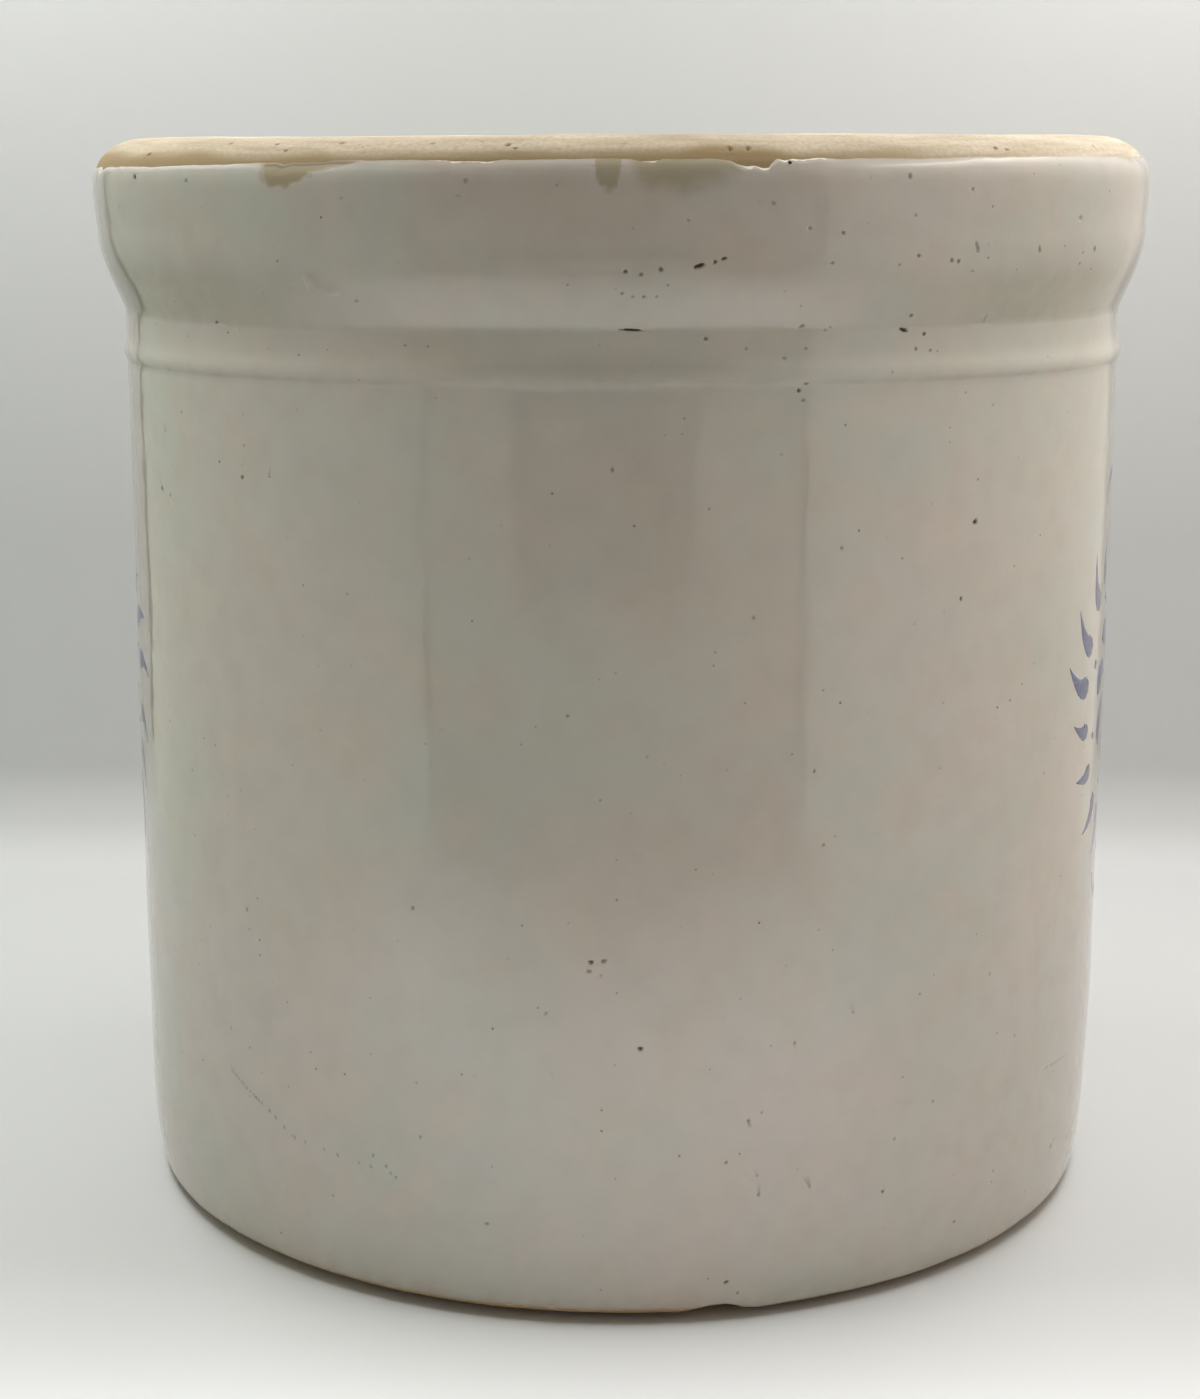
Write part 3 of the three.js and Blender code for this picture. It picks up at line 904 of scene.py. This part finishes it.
# Painted highlight along the bead's upper slope, away from the front
painted_crest_highlight = np.exp(-(((height - BEAD_CREST - 2.0) / 1.5) ** 2)) * ease((np.abs(azimuth + 1) - 9) / 9)
white_lips_and_highlights = np.maximum(white_lips_and_highlights, 0.17 * painted_crest_highlight)
coat = COAT - 0.1 * thin * (from_rim < 12) + 0.12 * white_lips_and_highlights + coat_waves(azimuth, radius, height)
front = coat * lip - 0.06 * (1 - lip) - cut - bumps
lift = np.where(depth > 0.01, -depth, front)
points = cylinder(azimuth, radius + out * lift, height + up * lift)
chips = on_outside(FOOT_CHIPS)
chipped, _ = hollow(chips, outside_outline, azimuth, along, lumps(surface, 3, 6))
points[:, 2] += chipped * ease((6 - height) / 6)
outside_glaze_coat = placed(outside_mesh, fired(points))
named(outside_mesh, "pits_and_painted_shade", pits_and_painted_shade)
named(outside_mesh, "thin", np.clip(thin, 0, 1))
named(outside_mesh, "white_lips_and_painted_highlights", white_lips_and_highlights)
named(outside_mesh, "olive_and_painted_shade", olive_and_painted_shade)
outside_mesh.materials.append(glaze)
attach(outside_glaze_coat, "root")
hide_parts("outer_glaze")

# Cobalt brushwork: a round flower of comma strokes and dots in a ring of rays, on each side of the
# pot, painted on the raw glaze with a loaded brush. The firing melted it in, so it has no relief to
# feel, soft edges and the same gloss. The drawn strokes lie a hair above the coat.

FLOWER_HEIGHT = 119.0
FLOWERS = [("cobalt_flower_right", 80.0, 5), ("cobalt_flower_left", -88.0, 9)]
PETALS = 8
RAYS = 18
ACROSS = 7  # points across a stroke
FULLEST = 0.28  # where along a comma stroke it is widest


def on_coat(azimuth, height, lift):
    """Places a lift in mm above the outside coat's skin"""
    along = np.interp(height, outside_outline[2], outside_outline[0])
    radius, height, out, up = on_outline(outside_outline, along)
    lift = lift + COAT + coat_waves(azimuth, radius, height)
    return fired(cylinder(azimuth, radius + out * lift, height + up * lift))


def comma(head, pull, tail, wide):
    """A comma stroke: a full round head drawn out along a curve to a fine tail"""
    path = curve(head, pull, tail)[::2]
    share = np.linspace(0, 1, len(path))
    swell = np.sqrt(np.clip(1 - (1 - share / FULLEST) ** 2, 0, 1))
    fade = np.clip(1 - (share - FULLEST) / (1 - FULLEST), 0, None) ** 0.8
    taper = np.where(share < FULLEST, swell, fade)
    return path, wide / 2 * np.maximum(taper, 0.04), 1 - 0.35 * share


def dot(middle, size):
    """A dab of the brush's tip"""
    share = np.linspace(-1, 1, 9)
    path = np.column_stack((middle[0] + share * size / 2, np.full(9, middle[1])))
    return path, size / 2 * np.sqrt(np.maximum(1 - share ** 2, 0.01)), np.full(9, 0.95)


def polar(radius, turn):
    """A point of the flower at a distance and a clockwise angle in degrees from upright"""
    return radius * np.sin(np.radians(turn)), radius * np.cos(np.radians(turn))


# Cobalt oxide under a gloss glaze: inky navy where the brush was loaded, greyer and paler blue at
# a stroke's edges and where it ran dry.
cobalt, tree, place = new_material("cobalt_oxide_in_gloss_glaze")
patchy = ranged(tree, blotches(tree, place, 2.2, 2), 0.3, 0.7, 0.65, 1.15)
amount = {0: mesh_value(tree, "ink"), 1: patchy}
amount = add_node(tree, "ShaderNodeMath", amount, operation="MULTIPLY", use_clamp=True)
tone = tinted(tree, linear("#6c7296"), amount.outputs[0], "#20285c")
peel_bump = {"Height": blotches(tree, place, 3.5, 1), "Strength": 0.12, "Distance": 0.0002}
skin = add_node(tree, "ShaderNodeBump", peel_bump)
body = {"Base Color": tone, "Roughness": 0.12, "IOR": 1.5, "Normal": skin.outputs[0]}
surfaced(tree, body)

for name, middle, seed in FLOWERS:
    dice = random.Random(seed)
    strokes = [dot((0, 0), 6.0)]
    for petal in range(PETALS):
        turn = petal * 360 / PETALS + dice.uniform(-3, 3)
        size = dice.uniform(0.93, 1.07)
        petal_curve = polar(19 * size, turn), polar(17.5 * size, turn + 34), polar(5.5, turn + 30)
        strokes.append(comma(*petal_curve, 7.6 * size))
        strokes.append(dot(polar(23.5, turn + 22 + dice.uniform(-2, 2)), dice.uniform(2.0, 2.6)))
    for ray in range(RAYS):
        turn = ray * 360 / RAYS + dice.uniform(-2, 2)
        size = dice.uniform(0.92, 1.08)
        ray_curve = polar(29, turn), polar(33 * size, turn - 7), polar(41.5 * size, turn + 4)
        strokes.append(comma(*ray_curve, 5.6 * size))
    for side in (-1, 1):
        strokes.append(comma((side * 3.5, 50), (side * 12, 52), (side * 15, 44), 3.4))
        strokes.append(comma((side * 3.2, -49), (side * 11, -51), (side * 14, -43), 3.2))
    places, inks, faces = [], [], []
    for path, half, load in strokes:
        path = np.array(path) + [(dice.uniform(-0.06, 0.06), dice.uniform(-0.06, 0.06)) for _ in path]
        ahead = np.gradient(path, axis=0)
        square = np.column_stack((-ahead[:, 1], ahead[:, 0])) / np.hypot(*ahead.T)[:, None]
        spread = np.linspace(-1, 1, ACROSS)
        first = sum(len(part) for part in places)
        count = len(path) * ACROSS
        flat = path[:, None] + square[:, None] * half[:, None, None] * spread[None, :, None]
        flat = flat.reshape(-1, 2)
        dome = np.tile(1 - spread ** 2, len(path))
        azimuth = middle + np.degrees(flat[:, 0] / WALL_RADIUS)
        for lift in (0.05 * dome - 0.012, np.full(count, -0.2)):
            places.append(on_coat(azimuth, FLOWER_HEIGHT + flat[:, 1], lift))
            inks.append(np.clip(dome * 2.4, 0, 1) * np.repeat(load, ACROSS))
        for row in range(len(path) - 1):
            for i in range(ACROSS - 1):
                a = first + row * ACROSS + i
                top = (a, a + 1, a + ACROSS + 1, a + ACROSS)
                faces.append(top[::-1])
                faces.append(tuple(v + count for v in top))
        edge = [first + i for i in range(ACROSS)]
        edge += [first + row * ACROSS + ACROSS - 1 for row in range(1, len(path))]
        edge += [first + count - 1 - i for i in range(1, ACROSS)]
        edge += [first + row * ACROSS for row in range(len(path) - 2, 0, -1)]
        for a, b in zip(edge, edge[1:] + edge[:1]):
            faces.append((a, b, b + count, a + count))
    mesh = bpy.data.meshes.new(name)
    points = np.vstack(places)
    mesh.from_pydata(points, [], faces)
    named(mesh, "ink", np.concatenate(inks))
    flower = placed(mesh, points)
    mesh.materials.append(cobalt)
    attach(flower, "root")

# Camera at the photograph's place: level with the rim's top, close in front and looking down a
# little. Its place and all sizes from here on are in metres.

LOOKING_DOWN = 12.58  # degrees
TURNED_LEFT = 0.42
sight = bpy.data.cameras.new("camera")
sight.lens = 65.3
sight.sensor_width = 36
camera = bpy.data.objects.new("camera", sight)
camera.location = (0, -0.606, 0.245)
camera.rotation_euler = np.radians((90 - LOOKING_DOWN, 0, TURNED_LEFT))
bpy.context.scene.collection.objects.link(camera)
bpy.context.scene.camera = camera
bpy.context.scene.view_settings.view_transform = "Standard"

# Light tent: a pale sheet that lies under the pot and curves up behind it, with a table top in front
# that is painted darker towards the front as shade, a wall on either side, a dark seam at the back of
# the left one and a bowed front flap with a slot. From outside each can be seen through, so that the
# pot shows from every side.

TENT_HEIGHT = 0.62
FLOOR_FRONT = -0.46
FLOOR_BREAK = -0.1
BACKDROP = 0.25
SWEEP_RADIUS = 0.03
SHEET_HALF = 0.9


def tent_cloth(name, shades, painted_glow, axis="Z"):
    """A matt cloth, see-through from behind, with (place, colour) shades along an axis.
    Its painted glow makes it shine in its own colours though it is no lamp."""
    cloth, tree, place = new_material(name)
    level = add_node(tree, "ShaderNodeSeparateXYZ", {0: place})
    low, high = shades[0][0], shades[-1][0]
    share = ranged(tree, level.outputs[axis], low, high)
    ramp = add_node(tree, "ShaderNodeValToRGB", {0: share})
    stops = ramp.color_ramp.elements
    while len(stops) < len(shades):
        stops.new(1)
    for stop, (spot, code) in zip(stops, shades):
        stop.position = (spot - low) / (high - low)
        stop.color = linear(code)
    matt = add_node(tree, "ShaderNodeBsdfDiffuse", {"Color": ramp.outputs[0]})
    painted_glow_shader = add_node(tree, "ShaderNodeEmission", {"Color": ramp.outputs[0], "Strength": painted_glow})
    front = add_node(tree, "ShaderNodeAddShader", {0: matt.outputs[0], 1: painted_glow_shader.outputs[0]})
    clear = add_node(tree, "ShaderNodeBsdfTransparent", {})
    side = add_node(tree, "ShaderNodeNewGeometry", {})
    both = {0: side.outputs["Backfacing"], 1: front.outputs[0], 2: clear.outputs[0]}
    one_sided = add_node(tree, "ShaderNodeMixShader", both)
    add_node(tree, "ShaderNodeOutputMaterial", {"Surface": one_sided.outputs[0]})
    return cloth


def hung(name, lines, cloth, slot=None):
    """A sheet of faces between lines of points; a slot is left out between two lines"""
    mesh = bpy.data.meshes.new(name)
    rows = len(lines[0])
    faces = []
    for i in range(len(lines) - 1):
        for j in range(rows - 1):
            if slot != (i, j):
                a = i * rows + j
                faces.append((a, a + 1, a + rows + 1, a + rows))
    mesh.from_pydata([point for line in lines for point in line], [], faces)
    mesh.materials.append(cloth)
    mesh.shade_smooth()
    sheet = bpy.data.objects.new(name, mesh)
    bpy.context.scene.collection.objects.link(sheet)
    sheet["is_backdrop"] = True


# The table top is painted darker towards the front, as painted shade where the light falls off.
front_lines = [[(-SHEET_HALF, y, 0), (SHEET_HALF, y, 0)] for y in (FLOOR_FRONT, FLOOR_BREAK)]
front_painted_shade = [(FLOOR_FRONT, "#8a8986"), (-0.3, "#8f8e8b"), (-0.2, "#adadac"), (-0.15, "#bfbfbf")]
front_painted_shade.append((FLOOR_BREAK, "#cdcdcd"))
hung("table_front", front_lines, tent_cloth("table_top_painted_shade", front_painted_shade, 0.0, axis="Y"))
sweep = [(FLOOR_BREAK, 0), (BACKDROP - SWEEP_RADIUS, 0)]
for step in range(1, 13):
    turn = np.radians(90 * step / 12)
    sweep.append((BACKDROP - SWEEP_RADIUS * (1 - np.sin(turn)), SWEEP_RADIUS * (1 - np.cos(turn))))
sweep.append((BACKDROP, TENT_HEIGHT))
sweep_lines = [[(-SHEET_HALF, y, z), (SHEET_HALF, y, z)] for y, z in sweep]
# The sheet's colours paint its light and shade. They are even on the floor, darker up the sweep and at
# the backdrop's foot, and lighter again towards the top.
floor_shades = [(0, "#cdcdcd"), (0.012, "#bebebe"), (0.11, "#b4b4b4"), (0.3, "#c0c0c0")]
hung("pale_sheet", sweep_lines, tent_cloth("pale_matt_sheet", floor_shades, 0.0))
# The walls' colours paint bands of light and shade up their height. The left one is green-grey and
# darkest at the middle, and the right one is paler and lightest at the top.
left_shades = [(0, "#959c92"), (0.1, "#878e85"), (0.22, "#777e76"), (0.36, "#7d847b"), (0.6, "#b4b9b0")]
right_shades = [(0, "#c0bdb6"), (0.1, "#c2bfb8"), (0.22, "#bfbcb5"), (0.36, "#cac7c0"), (0.6, "#ece9e2")]
WALLS = [  # name, plan from the left round to the right, shades from the floor up, painted glow
    ("tent_left", [(-0.335, 0.25), (-0.295, -0.374)], left_shades, 1.4),
    ("tent_seam", [(-0.315, 0.2495), (-0.334, 0.2495)], [(0, "#24211c"), (0.6, "#24211c")], 0.0),
    ("tent_right", [(0.275, -0.372), (0.275, 0.25)], right_shades, 0.8),
]
for name, plan, shades, painted_glow in WALLS:
    lines = [[(x, y, 0), (x, y, TENT_HEIGHT)] for x, y in plan]
    hung(name, lines, tent_cloth(name + "_cloth", shades, painted_glow))
flap_plan = [(-0.29, -0.384), (-0.155, -0.43), (0.11, -0.43), (0.268, -0.384)]
flap_heights = (0, 0.098, 0.165, TENT_HEIGHT)
flap_lines = [[(x, y, z) for z in flap_heights] for x, y in flap_plan]
# The flap's colours paint shade: darker at its foot, and darker again above the slot.
flap_shades = [
    (0, "#6f6b66"),
    (0.035, "#75716b"),
    (0.05, "#a19c94"),
    (0.16, "#a19c94"),
    (0.22, "#807b75"),
    (0.28, "#8a857e"),
    (0.6, "#8a857e"),
]
hung("tent_flap", flap_lines, tent_cloth("tent_flap_cloth", flap_shades, 0.22), slot=(1, 1))

# Three strip lights near the top of the tent, on the left, on the right and in front, in a dim room.
# Their light is soft: their own shapes show neither to the camera nor in the gloss.

STRIPS = [  # name, place, size, spread in degrees, radiant power in watts
    ("strip_left", (-0.23, 0.02, 0.53), (0.12, 0.4), 180, 1.97),
    ("strip_right", (0.21, 0.02, 0.53), (0.12, 0.4), 180, 1.8),
    ("strip_front", (0.0, -0.28, 0.6), (0.8, 0.1), 31, 1.5),
]
for name, spot, size, spread, power in STRIPS:
    lamp = bpy.data.lights.new(name, "AREA")
    lamp.shape = "RECTANGLE"
    lamp.size, lamp.size_y = size
    lamp.spread = np.radians(spread)
    lamp.energy = power
    strip = bpy.data.objects.new(name, lamp)
    strip.location = spot
    strip.visible_camera = False
    strip.visible_glossy = False
    bpy.context.scene.collection.objects.link(strip)
room = bpy.data.worlds.new("dim_room")
room.use_nodes = True
room.node_tree.nodes["Background"].inputs["Color"].default_value = linear("#3c3c3c")
bpy.context.scene.world = room

boxes = {"cad": cad_box, "visual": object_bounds()}
{name: [list(map(float, corner)) for corner in box] for name, box in boxes.items()}
